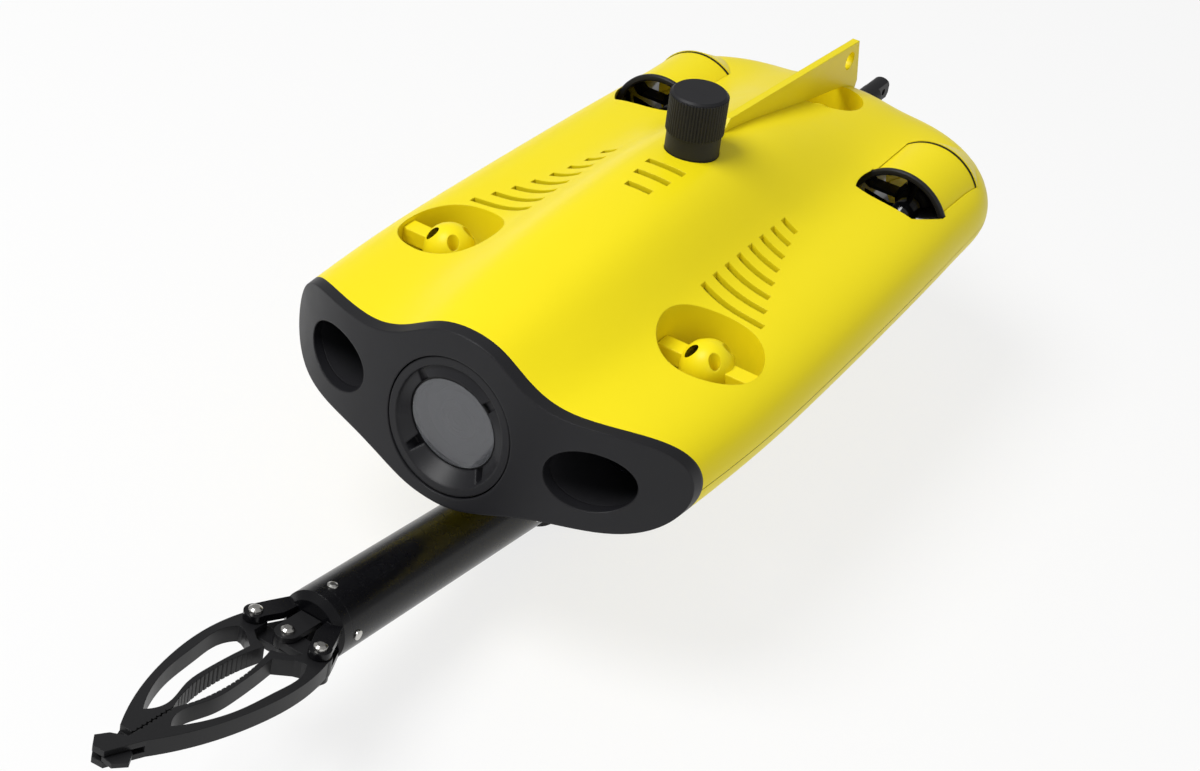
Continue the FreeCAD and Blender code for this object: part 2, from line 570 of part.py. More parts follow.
def side_plate(side, low, high):
    outline = [(TUBE_FRONT + 2, 7.0), (43, 8.6), (PIVOT_X, PIVOT_Y - 5), (PIVOT_X, PIVOT_Y + 5),
               (41, 18.4), (TUBE_FRONT + 2, 13.0)]
    arm_of_fork = prism([(x, side * y, low) for x, y in outline], (0, 0, high - low))
    eye = cylinder(5.0, (PIVOT_X, side * PIVOT_Y, low), (PIVOT_X, side * PIVOT_Y, high))
    return arm_of_fork.fuse(eye)


def pivot_pin(side):
    """Pivot with a button head above the fork and a nut below it."""
    y = side * PIVOT_Y
    pin = cylinder(PIN_RADIUS, (PIVOT_X, y, -PLATE_HIGH - 0.1), (PIVOT_X, y, PLATE_HIGH + 0.1))
    head = revolve_z([(0, PLATE_HIGH), (3.2, PLATE_HIGH), (3.0, PLATE_HIGH + 1.2), (1.8, PLATE_HIGH + 1.9),
                      (0, PLATE_HIGH + 1.9)], PIVOT_X, y)
    flats = [(PIVOT_X + 3.4 * math.cos(math.radians(60 * i)), y + 3.4 * math.sin(math.radians(60 * i)), -PLATE_HIGH)
             for i in range(6)]
    return fuse([pin, head, prism(flats, (0, 0, -2.2))])


head = cylinder(plug, (8, 0, 0), (TUBE_FRONT, 0, 0)).fuse(
    revolve_x([(TUBE_FRONT, 0), (TUBE_FRONT, TUBE_RADIUS), (HEAD_FRONT - 2.5, TUBE_RADIUS),
               (HEAD_FRONT, TUBE_RADIUS - 3.5), (HEAD_FRONT, 0)]))
forks = [side_plate(side, low, low + 3.4) for side in (1, -1) for low in (PLATE_LOW, -PLATE_HIGH)]
head = fuse([head] + forks)
head = head.cut(cylinder(ROD_RADIUS + SHAFT_FIT, (0, 0, 0), (HEAD_FRONT + 1, 0, 0)))
for name, side in SIDES.items():
    pin = pivot_pin(side)
    arm["jaw_pivot_" + name] = pin
    head = head.cut(pin)
arm["gripper_head"] = head.removeSplitter()

# push rod with its clevis, which carries the pin that works both jaws
ROD_TRAVEL = PIVOT_Y * math.tan(math.radians(JAW_OPEN))
rod = cylinder(ROD_RADIUS, (-24, 0, 0), (HEAD_FRONT + 3, 0, 0))
clevis_half = 5.5
block = box(HEAD_FRONT + 0.5, PIVOT_X - 9, -4.4, 4.4, -PLATE_LOW - 2.4, PLATE_LOW + 2.4)
cheeks = []
for low in (PLATE_LOW, -PLATE_LOW - 2.4):
    cheeks.append(box(HEAD_FRONT + 0.5, PIVOT_X, -clevis_half, clevis_half, low, low + 2.4))
    cheeks.append(cylinder(clevis_half, (PIVOT_X, 0, low), (PIVOT_X, 0, low + 2.4)))
rod_pin = cylinder(ROD_PIN_RADIUS, (PIVOT_X, 0, -PLATE_LOW - 3.6), (PIVOT_X, 0, PLATE_LOW + 2.5))
rod_pin = rod_pin.fuse(revolve_z([(0, PLATE_LOW + 2.4), (3.1, PLATE_LOW + 2.4), (2.9, PLATE_LOW + 3.6),
                                  (1.8, PLATE_LOW + 4.3), (0, PLATE_LOW + 4.3)], PIVOT_X))
arm["push_rod"] = fuse([rod, block] + cheeks).cut(rod_pin).removeSplitter()
arm["rod_pin"] = rod_pin


def cam_slot(side):
    """Slot of a jaw's tail: where the pin goes in the jaw's own frame, so that equal strokes of the
    rod turn the jaw by equal angles."""
    points = []
    steps = 6
    for i in range(-1, steps + 2):
        part = i / steps
        turn = math.radians(JAW_OPEN) * part
        dx, dy = ROD_TRAVEL * part, -PIVOT_Y
        points.append(Vector(PIVOT_X + dx * math.cos(turn) + dy * math.sin(turn),
                             side * (PIVOT_Y - dx * math.sin(turn) + dy * math.cos(turn)), 0))
    radius = ROD_PIN_RADIUS + 0.12
    cuts = [cylinder(radius, (p.x, p.y, -9), (p.x, p.y, 9)) for p in points]
    for a, b in zip(points, points[1:]):
        step = (b - a)
        if step.Length > 1e-6:
            normal = Vector(-step.y, step.x, 0).normalize() * radius
            corners = [a + normal, b + normal, b - normal, a - normal]
            cuts.append(prism([(p.x, p.y, -9) for p in corners], (0, 0, 18)))
    return cuts


def curve_through(points, side, z):
    curve = Part.BSplineCurve()
    curve.interpolate([Vector(x, side * y, z) for x, y in points])
    return curve.toShape()


TOOTH_PITCH = 2.6


def jaw_plan(side):
    """The jaw seen from above: an outer bow and a toothed inner bar round an open window."""
    z = -JAW_HALF
    bow = [(PIVOT_X + 1, PIVOT_Y + 5.6), (72, 25.8), (96, 23.4), (120, 16.6), (141, 6.2)]
    gap = [(118.0, 0.25), (104.0, 4.4), (90.0, 5.4), (76.0, 4.4), (63.0, 1.6)]
    edges = [curve_through(bow, side, z), curve_through(gap, side, z)]
    corners = [(141, 6.2), (142.0, 0.25), (118.0, 0.25)]
    edges += Part.makePolygon([Vector(x, side * y, z) for x, y in corners]).Edges
    root = [(63.0, 1.6), (61.0, 7.5), (56.5, 13.5), (PIVOT_X + 1, PIVOT_Y + 5.6)]
    edges += Part.makePolygon([Vector(x, side * y, z) for x, y in root]).Edges
    body = Part.Face(Part.Wire(Part.__sortEdges__(edges))).extrude(Vector(0, 0, 2 * JAW_HALF))
    window = [(59.5, 17.6), (66, 21.2), (82, 21.0), (101, 18.6), (116, 13.8), (127.5, 7.2)]
    bar = [(127.5, 7.2), (118, 3.4), (104, 6.9), (90, 7.7), (76, 6.9), (67, 6.0)]
    edges = [curve_through(window, side, z), curve_through(bar, side, z)]
    edges += Part.makePolygon([Vector(x, side * y, z) for x, y in ((67, 6.0), (61.5, 13.0), (59.5, 17.6))]).Edges
    hole = Part.Face(Part.Wire(Part.__sortEdges__(edges))).extrude(Vector(0, 0, 2 * JAW_HALF))
    return body.cut(hole)


def tooth_cuts(side):
    """Grooves across the pipe grip, following the curve of the inner bar."""
    cuts = []
    for i in range(19):
        x = 66.0 + TOOTH_PITCH * i
        t = (x - 90.0) / 28.0
        y = 5.4 - 5.15 * min(1.0, abs(t)) ** 2
        root = y + 0.75
        cuts.append(prism([(x - 0.9, side * (y - 0.6), -9), (x, side * root, -9), (x + 0.9, side * (y - 0.6), -9)],
                          (0, 0, 18)))
    return cuts


def tip_teeth(side):
    """Small meshing teeth along the closed tips: V grooves, half a pitch apart on the two jaws."""
    cuts = []
    for i in range(8):
        x = 120.5 + TOOTH_PITCH * i + (0 if side > 0 else TOOTH_PITCH / 2)
        cuts.append(prism([(x - 0.9, 0, -9), (x, side * 1.1, -9), (x + 0.9, 0, -9)], (0, 0, 18)))
    return cuts


def prong(side, low, high):
    """A finger at the tip that reaches across the centre line between the other jaw's fingers."""
    outline = [(138.0, 7.6), (138.0, 0.3), (143.0, 0.3), (146.5, -6.0), (151.5, -9.0), (156.5, -5.0),
               (156.0, 0.5), (147.0, 4.0)]
    return prism([(x, side * y, low) for x, y in outline], (0, 0, high - low))


def jaw(side):
    """Port jaw: tail in the upper layer and two fingers. Starboard jaw: lower layer and one finger."""
    port = side > 0
    boss = cylinder(5.6, (PIVOT_X, side * PIVOT_Y, -JAW_HALF), (PIVOT_X, side * PIVOT_Y, JAW_HALF))
    low, high = (LAYER_GAP / 2, JAW_HALF) if port else (-JAW_HALF, -LAYER_GAP / 2)
    tail = [box(PIVOT_X - 4.6, PIVOT_X + 4.6, min(0, side * PIVOT_Y), max(0, side * PIVOT_Y), low, high),
            cylinder(4.9, (PIVOT_X, side * -0.9, low), (PIVOT_X, side * -0.9, high))]
    root = prism([(x, side * y, -JAW_HALF) for x, y in
                  ((PIVOT_X, PIVOT_Y - 5.6), (57.5, 12.0), (61, 7.5), (60, 19), (PIVOT_X, PIVOT_Y + 5.6))],
                 (0, 0, 2 * JAW_HALF))
    inner, outer = 1.25, JAW_HALF
    if port:
        fingers = [prong(side, inner + LAYER_GAP / 2, outer), prong(side, -outer, -inner - LAYER_GAP / 2)]
        relief = [box(140.5, 170, -20, 20, -inner - LAYER_GAP / 2, inner + LAYER_GAP / 2)]
    else:
        fingers = [prong(side, -inner + LAYER_GAP / 2, inner - LAYER_GAP / 2)]
        relief = [box(140.5, 170, -20, 20, inner - LAYER_GAP / 2, 9),
                  box(140.5, 170, -20, 20, -9, -inner + LAYER_GAP / 2)]
    whole = fuse([jaw_plan(side), boss, root] + tail)
    for cut in tooth_cuts(side) + tip_teeth(side) + relief:
        whole = whole.cut(cut)
    whole = fuse([whole] + fingers)
    for cut in cam_slot(side):
        whole = whole.cut(cut)
    hole = cylinder(PIN_RADIUS + PIVOT_FIT, (PIVOT_X, side * PIVOT_Y, -9), (PIVOT_X, side * PIVOT_Y, 9))
    return whole.cut(hole).removeSplitter()


for name, side in SIDES.items():
    arm["jaw_" + name] = jaw(side)

# place the arm: pitched up about Y, with its axis through ARM_POINT
arm_place = Placement(Vector(*ARM_POINT), Rotation(Y_AXIS, -ARM_PITCH))


def placed(shape):
    copy = shape.copy()
    copy.Placement = arm_place.multiply(copy.Placement)
    return copy


for name, shape in arm.items():
    add(name, placed(shape))

# mount under the belly: a saddle plate against the lower shell, a web, and two clamp rings
CLAMPS = (-142.0, -174.0)
clamp_rings = [tube(TUBE_RADIUS + 3.0, TUBE_RADIUS + 0.1, (u - 8, 0, 0), (u + 8, 0, 0)) for u in CLAMPS]
web = box(CLAMPS[1] - 8, CLAMPS[0] + 8, -7, 7, TUBE_RADIUS + 0.1, TUBE_RADIUS + 30)
carrier = placed(fuse(clamp_rings + [web]))
saddle = box(-122, -60, -24, 24, -50.5, -40)
add("arm_mount", carrier.fuse(saddle).cut(outer_hull))
mount_screws = []
for x in (-115, -67):
    for y in (-18, 18):
        top = -41.0
        mount_screws.append(cylinder(3.0, (x, y, -50.5), (x, y, -51.9)).fuse(cylinder(1.5, (x, y, -51), (x, y, top))))
mount_screws = Part.makeCompound(mount_screws)
NODES["arm_mount"] = NODES["arm_mount"].cut(mount_screws)
add("mount_screws", mount_screws)

# ---------------------------------------------------------------- export
# The origin moves to the centre of the footprint, on the lowest point's level.
everything = Part.makeCompound(list(NODES.values()))
limits = everything.optimalBoundingBox(False)
shift = Vector(-(limits.XMin + limits.XMax) / 2, -(limits.YMin + limits.YMax) / 2, -limits.ZMin)
print("shift", shift.x, shift.y, shift.z, "size", limits.XLength, limits.YLength, limits.ZLength)
for name, shape in NODES.items():
    shape.translate(shift)
    shape.exportStep("parts/" + name + ".step")
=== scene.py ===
import bmesh
import bpy
import json
import math
from mathutils import Matrix, Vector


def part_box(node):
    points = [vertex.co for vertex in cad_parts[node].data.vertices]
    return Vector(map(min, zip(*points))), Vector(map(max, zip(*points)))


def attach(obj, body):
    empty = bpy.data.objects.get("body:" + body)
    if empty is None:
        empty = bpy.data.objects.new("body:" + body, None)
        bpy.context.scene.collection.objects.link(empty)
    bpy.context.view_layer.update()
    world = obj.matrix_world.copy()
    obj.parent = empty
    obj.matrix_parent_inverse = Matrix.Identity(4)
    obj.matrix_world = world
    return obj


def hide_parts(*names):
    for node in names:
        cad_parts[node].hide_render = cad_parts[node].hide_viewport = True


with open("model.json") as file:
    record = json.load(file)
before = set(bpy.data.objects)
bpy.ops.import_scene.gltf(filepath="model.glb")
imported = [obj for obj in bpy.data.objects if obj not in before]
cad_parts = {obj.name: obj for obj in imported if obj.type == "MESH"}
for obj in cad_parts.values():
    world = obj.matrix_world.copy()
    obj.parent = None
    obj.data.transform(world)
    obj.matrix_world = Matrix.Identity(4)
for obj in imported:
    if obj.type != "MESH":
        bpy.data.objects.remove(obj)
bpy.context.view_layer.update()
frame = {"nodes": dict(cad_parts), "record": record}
nodes = frame["nodes"]
SIDES = ("port", "starboard")


# ---------------------------------------------------------------- materials
# Noise scales are per metre.
DRIFT_SCALE = 14.0
POLISH_SCALE = 90.0
POLISH_BELOW, POLISH_ABOVE = 0.05, 0.07
GRAIN_HEIGHT = 0.0002
METAL_GRAIN_DEPTH = 0.15
EDGE_SAMPLES = 4
COAT_ROUGHNESS = 0.12
FILM_SCALE = 60.0
FILM_ROUGHNESS = 0.04
FILM_SHADE = 0.94
GLASS_IOR = 1.45
CAD_SHARP_ANGLE, PIECE_SHARP_ANGLE = 32, 30


def new_material(name):
    """An empty node material with one surface shader."""
    material = bpy.data.materials.new(name)
    material.use_nodes = True
    tree = material.node_tree
    tree.nodes.clear()
    output = tree.nodes.new("ShaderNodeOutputMaterial")
    shader = tree.nodes.new("ShaderNodeBsdfPrincipled")
    tree.links.new(shader.outputs["BSDF"], output.inputs["Surface"])
    return material, tree, shader


def add_node(tree, kind, **values):
    """A node with its sockets or its settings filled in by name."""
    node = tree.nodes.new(kind)
    for key, value in values.items():
        if key in node.inputs:
            node.inputs[key].default_value = value
        else:
            setattr(node, key, value)
    return node


def object_noise(tree, scale, detail=4.0, roughness=0.6):
    """Noise in the piece's own metres, so the grain keeps its size."""
    coords = tree.nodes.new("ShaderNodeTexCoord")
    noise = add_node(tree, "ShaderNodeTexNoise", Scale=scale, Detail=detail, Roughness=roughness)
    tree.links.new(coords.outputs["Object"], noise.inputs["Vector"])
    return noise


def between(tree, factor, low, high):
    """A number that goes from low to high with the factor."""
    spread = tree.nodes.new("ShaderNodeMapRange")
    spread.inputs["To Min"].default_value = low
    spread.inputs["To Max"].default_value = high
    tree.links.new(factor, spread.inputs["Value"])
    return spread.outputs["Result"]


def blend_colours(tree, factor, first, second):
    """A colour that goes from the first to the second with the factor."""
    mix = add_node(tree, "ShaderNodeMix", data_type="RGBA")
    factor_in, first_in, second_in, colour_out = mix.inputs[0], mix.inputs[6], mix.inputs[7], mix.outputs[2]
    first_in.default_value = (*first, 1.0)
    second_in.default_value = (*second, 1.0)
    tree.links.new(factor, factor_in)
    return colour_out


def moulded(name, base, dark, rough, grain, depth, coat=0.0, edge=0.0004, specular=0.3, metallic=0.0):
    """Moulded plastic or metal: slight colour drift, uneven polish and a grain of that scale and depth.

    Edges are softened in the shading only, over the edge's width in metres.
    """
    material, tree, shader = new_material(name)
    drift = object_noise(tree, DRIFT_SCALE, 3.0)
    tree.links.new(blend_colours(tree, between(tree, drift.outputs["Fac"], 0.0, 1.0), base, dark),
                   shader.inputs["Base Color"])
    polish = object_noise(tree, POLISH_SCALE, 5.0)
    tree.links.new(between(tree, polish.outputs["Fac"], rough - POLISH_BELOW, rough + POLISH_ABOVE),
                   shader.inputs["Roughness"])
    fine = object_noise(tree, grain, 2.0)
    bump = add_node(tree, "ShaderNodeBump", Strength=depth, Distance=GRAIN_HEIGHT)
    tree.links.new(fine.outputs["Fac"], bump.inputs["Height"])
    soft = add_node(tree, "ShaderNodeBevel", samples=EDGE_SAMPLES, Radius=edge)
    tree.links.new(soft.outputs["Normal"], bump.inputs["Normal"])
    tree.links.new(bump.outputs["Normal"], shader.inputs["Normal"])
    shader.inputs["Specular IOR Level"].default_value = specular
    shader.inputs["Coat Weight"].default_value = coat
    shader.inputs["Coat Roughness"].default_value = COAT_ROUGHNESS
    shader.inputs["Metallic"].default_value = metallic
    return material


def metal(name, base, dark, rough, grain):
    """Bare metal, with the same drift and grain as the mouldings."""
    return moulded(name, base, dark, rough, grain, METAL_GRAIN_DEPTH, metallic=1.0)


def glass(name, tint, rough, clear=1.0):
    """Tinted window with a faint film; clear is the share of light that passes through."""
    material, tree, shader = new_material(name)
    film = object_noise(tree, FILM_SCALE, 3.0)
    tree.links.new(between(tree, film.outputs["Fac"], rough, rough + FILM_ROUGHNESS),
                   shader.inputs["Roughness"])
    tree.links.new(blend_colours(tree, film.outputs["Fac"], tint, [c * FILM_SHADE for c in tint]),
                   shader.inputs["Base Color"])
    shader.inputs["Transmission Weight"].default_value = clear
    shader.inputs["IOR"].default_value = GLASS_IOR
    return material


MATERIALS = {
    "hull_yellow": moulded("hull_yellow", (0.96, 0.80, 0.010), (0.93, 0.765, 0.008), 0.36, 2600.0, 0.05,
                           edge=0.0007, specular=0.2),
    "panel_black": moulded("panel_black", (0.012, 0.012, 0.014), (0.009, 0.009, 0.011), 0.42, 1800.0, 0.1,
                           edge=0.0012),
    "trim_black": moulded("trim_black", (0.016, 0.016, 0.018), (0.012, 0.012, 0.014), 0.48, 1500.0, 0.12,
                          specular=0.25),
    "lens": glass("lens", (0.25, 0.27, 0.3), 0.05),
    "glass": glass("glass", (0.42, 0.43, 0.46), 0.03, clear=0.82),
    "prop_black": moulded("prop_black", (0.006, 0.006, 0.007), (0.004, 0.004, 0.005), 0.12, 900.0, 0.03,
                          coat=0.8),
    "motor_metal": moulded("motor_metal", (0.02, 0.02, 0.022), (0.014, 0.014, 0.016), 0.35, 1200.0, 0.1),
    "arm_black": moulded("arm_black", (0.004, 0.004, 0.005), (0.003, 0.003, 0.004), 0.26, 1400.0, 0.05,
                         coat=0.1, specular=0.2),
    "jaw_black": moulded("jaw_black", (0.012, 0.012, 0.013), (0.008, 0.008, 0.009), 0.38, 1300.0, 0.1),
    "steel": metal("steel", (0.62, 0.61, 0.58), (0.5, 0.49, 0.47), 0.22, 800.0),
    "seal_rubber": moulded("seal_rubber", (0.008, 0.008, 0.008), (0.006, 0.006, 0.006), 0.6, 1500.0, 0.2),
    "pressure_metal": metal("pressure_metal", (0.12, 0.13, 0.14), (0.1, 0.1, 0.11), 0.35, 900.0),
    "pack_wrap": moulded("pack_wrap", (0.02, 0.06, 0.16), (0.015, 0.05, 0.13), 0.4, 900.0, 0.1),
    "board": moulded("board", (0.01, 0.08, 0.03), (0.01, 0.06, 0.025), 0.35, 1500.0, 0.1),
    "light_board": metal("light_board", (0.5, 0.5, 0.52), (0.42, 0.42, 0.44), 0.3, 900.0),
}


def smooth(mesh, degrees):
    """Shade the mesh smooth, with edges sharper than the angle kept sharp."""
    mesh.shade_smooth()
    mesh.set_sharp_from_angle(angle=math.radians(degrees))


slot_of = {entry["node"]: entry["material_slot"] for entry in frame["record"]["subparts"]}
for name, piece in nodes.items():
    piece.data.materials.clear()
    piece.data.materials.append(MATERIALS[slot_of[name]])
    smooth(piece.data, CAD_SHARP_ANGLE)


# ---------------------------------------------------------------- places, read from the frame
FORWARD, UPWARD = Vector((1, 0, 0)), Vector((0, 0, 1))
DIAGONAL = 45


def centre(node):
    """The middle of a node's box."""
    low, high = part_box(node)
    return (Vector(low) + Vector(high)) / 2


window_low, window_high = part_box("camera_window")
WINDOW_RADIUS = (window_high[1] - window_low[1]) / 2
window = centre("camera_window")
window_face = Vector((window_high[0], window.y, window.z))


# ---------------------------------------------------------------- second finishes and painted shade on single faces
SCOOP_AHEAD = 0.03
SCOOP_HALF_WIDTH = 0.034
DUCT_SPARE = 0.001
# Slope past which a shell face gets the painted shade.
SHADED_FACE_SLOPE = 0.1


def finish_or_painted_shade(node, material, chosen):
    """Give the faces that the rule chooses a second material: a finish of their own, or painted shade."""
    mesh = nodes[node].data
    mesh.materials.append(material)
    for face in mesh.polygons:
        if chosen(face.center, face.normal):
            face.material_index = 1


def duct_inside(axis, bore):
    """Rule that picks the faces nearer the duct's axis than the bore."""
    def chosen(point, normal):
        return math.hypot(point.y - axis.y, point.z - axis.z) < bore
    return chosen


def shell_underside_painted_shade(point, normal):
    """Painted shade: the downward faces under the top shell, apart from the scoops in front of the ducts, get
    the dark trim finish because the hollow under the shell lies in shade.
    """
    in_scoop = point.x < scoop_front and abs(abs(point.y) - scoop_y) < SCOOP_HALF_WIDTH
    return normal.z < -SHADED_FACE_SLOPE and not in_scoop


def belly_inside_painted_shade(point, normal):
    """Painted shade: the upward faces of the bottom shell, ahead of the scoops, get the dark trim finish
    because the hollow inside the hull lies in shade.
    """
    return normal.z > SHADED_FACE_SLOPE and point.x > scoop_front


scoop_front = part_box("duct_port")[1][0] + SCOOP_AHEAD
scoop_y = centre("duct_port").y
# The black trim on the shells' inner faces is painted shade inside the hull; the duct bores get their own
# real black finish.
finish_or_painted_shade("upper_shell", MATERIALS["trim_black"], shell_underside_painted_shade)
finish_or_painted_shade("lower_shell", MATERIALS["trim_black"], belly_inside_painted_shade)
for side in SIDES:
    duct_low, duct_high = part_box("duct_" + side)
    bore = (duct_high[2] - duct_low[2]) / 2 - DUCT_SPARE
    finish_or_painted_shade("duct_" + side, MATERIALS["prop_black"], duct_inside(centre("duct_" + side), bore))


# ---------------------------------------------------------------- detail pieces
def linked(name, points, faces):
    """A piece of the scene made from points and faces."""
    mesh = bpy.data.meshes.new(name)
    mesh.from_pydata(points, [], faces)
    mesh.update()
    piece = bpy.data.objects.new(name, mesh)
    bpy.context.collection.objects.link(piece)
    return piece


def turned(name, profile, place, axis, steps=64):
    """A closed (along, radius) profile turned about an axis through a place."""
    across = axis.orthogonal().normalized()
    third = axis.cross(across)
    points, faces = [], []
    for i in range(steps):
        angle = 2 * math.pi * i / steps
        out = across * math.cos(angle) + third * math.sin(angle)
        points += [place + axis * along + out * radius for along, radius in profile]
    count = len(profile)
    for i in range(steps):
        for j in range(count):
            a, b = i * count, ((i + 1) % steps) * count
            k = (j + 1) % count
            faces.append((a + j, a + k, b + k, b + j))
    piece = linked(name, points, faces)
    smooth(piece.data, PIECE_SHARP_ANGLE)
    return piece


def finish(piece, slot, body):
    """Give a piece the material of its slot and the body that it moves with."""
    piece.data.materials.append(MATERIALS[slot])
    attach(piece, body)


# Name, outer and inner radius, and how far the ring's edges lie behind the lens plane.
LENS_RINGS = (("lens_ring_outer", 0.0095, 0.0086, 0.0006), ("lens_ring_middle", 0.0068, 0.0058, 0.0009),
              ("lens_ring_inner", 0.0042, 0.0030, 0.0012))
LENS_BEHIND_FACE = 0.0035
LENS_RING_BACK = -0.0015
LENS_RING_GROOVE = 0.0002


def lens_barrel():
    """Stepped rings of the camera's lens, just behind the window."""
    back = window_face - FORWARD * LENS_BEHIND_FACE
    for name, outer, inner, deep in LENS_RINGS:
        profile = [(LENS_RING_BACK, outer), (-deep, outer), (-deep - LENS_RING_GROOVE, (outer + inner) / 2),
                   (-deep, inner), (LENS_RING_BACK, inner)]
        finish(turned(name, profile, back, FORWARD), "motor_metal", "vehicle")


SAME_POINT = 1e-6


def seal(mesh):
    """Merge the points that meet, and turn every face outward."""
    surface = bmesh.new()
    surface.from_mesh(mesh)
    bmesh.ops.remove_doubles(surface, verts=surface.verts, dist=SAME_POINT)
    bmesh.ops.recalc_face_normals(surface, faces=surface.faces)
    surface.to_mesh(mesh)
    surface.free()


def carve(piece, cutters):
    """Cut closed shapes out of a piece, and keep only the result."""
    seal(piece.data)
    for cutter in cutters:
        seal(cutter.data)
        step = piece.modifiers.new("carve", "BOOLEAN")
        step.operation = "DIFFERENCE"
        step.solver = "EXACT"
        step.object = cutter
    bpy.context.view_layer.update()
    shaped = piece.evaluated_get(bpy.context.evaluated_depsgraph_get())
    carved = bpy.data.meshes.new_from_object(shaped)
    piece.modifiers.clear()
    piece.data = carved
    smooth(carved, PIECE_SHARP_ANGLE)
    for cutter in cutters:
        bpy.data.objects.remove(cutter)


def block(name, corners, push):
    """A closed prism: a flat outline of points, pushed along a direction."""
    count = len(corners)
    points = [Vector(p) for p in corners] + [Vector(p) + push for p in corners]
    faces = [tuple(range(count - 1, -1, -1)), tuple(range(count, 2 * count))]
    faces += [(i, (i + 1) % count, count + (i + 1) % count, count + i) for i in range(count)]
    return linked(name, points, faces)


BEZEL_STEPS = 96
# Backward lean of the nose panel, as x lost per z gained, and where the ring starts to share it.
BEZEL_LEAN = 0.166
LEAN_START, LEAN_SPREAD = 0.001, 0.004
# Points of the ring's section, as x from the window's face and radius.
BEZEL_BACK = -0.012
BEZEL_OUTSIDE = [(BEZEL_BACK, 0.0327), (0.0024, 0.0327), (0.0036, 0.0321), (0.0036, 0.0285), (0.0024, 0.0279)]
CONE_FOOT, WINDOW_SEAT = 0.0004, -0.0026
SEAT_CLEARANCE, SEAT_LIP = 0.0009, 0.0019
NOTCHES = 4
NOTCH_START, NOTCH_FLOOR = 0.0005, 0.0015
NOTCH_LENGTH, NOTCH_INNER_HALF, NOTCH_OUTER_HALF = 0.0052, 0.0026, 0.0019
NOTCH_CUT = 0.02


def dished_bezel():
    """The camera's bezel: its ring leans back with the nose panel, and a cone leads down to the window."""
    seat, lip = WINDOW_RADIUS + SEAT_CLEARANCE, WINDOW_RADIUS - SEAT_LIP
    profile = BEZEL_OUTSIDE + [(CONE_FOOT, seat), (WINDOW_SEAT, seat), (WINDOW_SEAT, lip), (BEZEL_BACK, lip)]
    ring = turned("camera_bezel_dished", profile, window_face, FORWARD, BEZEL_STEPS)
    for vertex in ring.data.vertices:
        reach = math.hypot(vertex.co.y - window_face.y, vertex.co.z - window_face.z)
        share = min(1.0, max(0.0, (reach - WINDOW_RADIUS - LEAN_START) / LEAN_SPREAD))
        if vertex.co.x > window_face.x - LEAN_START:
            vertex.co.x -= BEZEL_LEAN * (vertex.co.z - window_face.z) * share
    cutters = []
    for i in range(NOTCHES):
        angle = math.radians(DIAGONAL + 360 / NOTCHES * i)
        out = Vector((0, math.cos(angle), math.sin(angle)))
        side = Vector((0, -math.sin(angle), math.cos(angle)))
        inner = window_face + out * (WINDOW_RADIUS + NOTCH_START) - FORWARD * NOTCH_FLOOR
        outer = inner + out * NOTCH_LENGTH
        wedge = [inner - side * NOTCH_INNER_HALF, inner + side * NOTCH_INNER_HALF,
                 outer + side * NOTCH_OUTER_HALF, outer - side * NOTCH_OUTER_HALF]
        cutters.append(block("notch", wedge, FORWARD * NOTCH_CUT))
    carve(ring, cutters)
    finish(ring, "panel_black", "vehicle")
    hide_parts("camera_bezel")


COVER_STEPS = 72
COVER_RADIUS, COVER_SKIRT = 0.0127, 0.0075
COVER_ARC_STEP = 9
HOLES, HOLE_STEPS = 4, 24
HOLE_RADIUS, HOLE_REACH, HOLE_CUT = 0.0028, 0.0086, 0.03
# How far each tunnel's struts reach from its axis, just short of the wall.
STRUT_END = {"front_port": 0.0249, "front_starboard": 0.0249, "rear": 0.0231}
STRUT_OVERLAP = 0.003
STRUT_HALF_WIDTH, STRUT_FOOT, STRUT_HEIGHT = 0.0045, 0.003, 0.008
STRUT_EDGE = 0.0004


def motor_cover(tunnel, base):
    """Smooth dome with four holes over a vertical thruster's motor."""
    profile = [(0.0, 0.0), (0.0, COVER_RADIUS), (COVER_SKIRT, COVER_RADIUS)]
    arc = [math.radians(degrees) for degrees in range(COVER_ARC_STEP, 90, COVER_ARC_STEP)]
    profile += [(COVER_SKIRT + COVER_RADIUS * math.sin(a), COVER_RADIUS * math.cos(a)) for a in arc]
    profile.append((COVER_SKIRT + COVER_RADIUS, 0.0))
    dome = turned("motor_cover_" + tunnel, profile, base, UPWARD, COVER_STEPS)
    bore_profile = [(0.0, 0.0), (0.0, HOLE_RADIUS), (HOLE_CUT, HOLE_RADIUS), (HOLE_CUT, 0.0)]
    cutters = []
    for i in range(HOLES):
        angle = math.radians(DIAGONAL + 360 / HOLES * i)
        out = Vector((math.cos(angle), math.sin(angle), 0))
        place = base + out * HOLE_REACH + UPWARD * COVER_SKIRT
        cutters.append(turned("hole", bore_profile, place, UPWARD, HOLE_STEPS))
    carve(dome, cutters)
    return dome


def domed_mount(tunnel):
    """A vertical thruster's motor cover and the two struts across the boat that hold it."""
    axis = centre("motor_" + tunnel)
    base = Vector((axis.x, axis.y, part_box("motor_" + tunnel)[1][2]))
    dome = motor_cover(tunnel, base)
    foot = base + UPWARD * STRUT_FOOT
    for end, way in (("port", 1), ("starboard", -1)):
        out, side = Vector((0, way, 0)), Vector((way, 0, 0)) * STRUT_HALF_WIDTH
        inner, outer = foot + out * (COVER_RADIUS - STRUT_OVERLAP), foot + out * STRUT_END[tunnel]
        outline = [inner - side, outer - side, outer + side, inner + side]
        strut = block("motor_strut_%s_%s" % (tunnel, end), outline, UPWARD * STRUT_HEIGHT)
        seal(strut.data)
        soften = strut.modifiers.new("soften", "BEVEL")
        soften.width = STRUT_EDGE
        soften.segments = 2
        finish(strut, "hull_yellow", "vehicle")
    finish(dome, "hull_yellow", "vehicle")
    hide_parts("motor_mount_" + tunnel)


lens_barrel()
dished_bezel()
for each_tunnel in STRUT_END:
    domed_mount(each_tunnel)


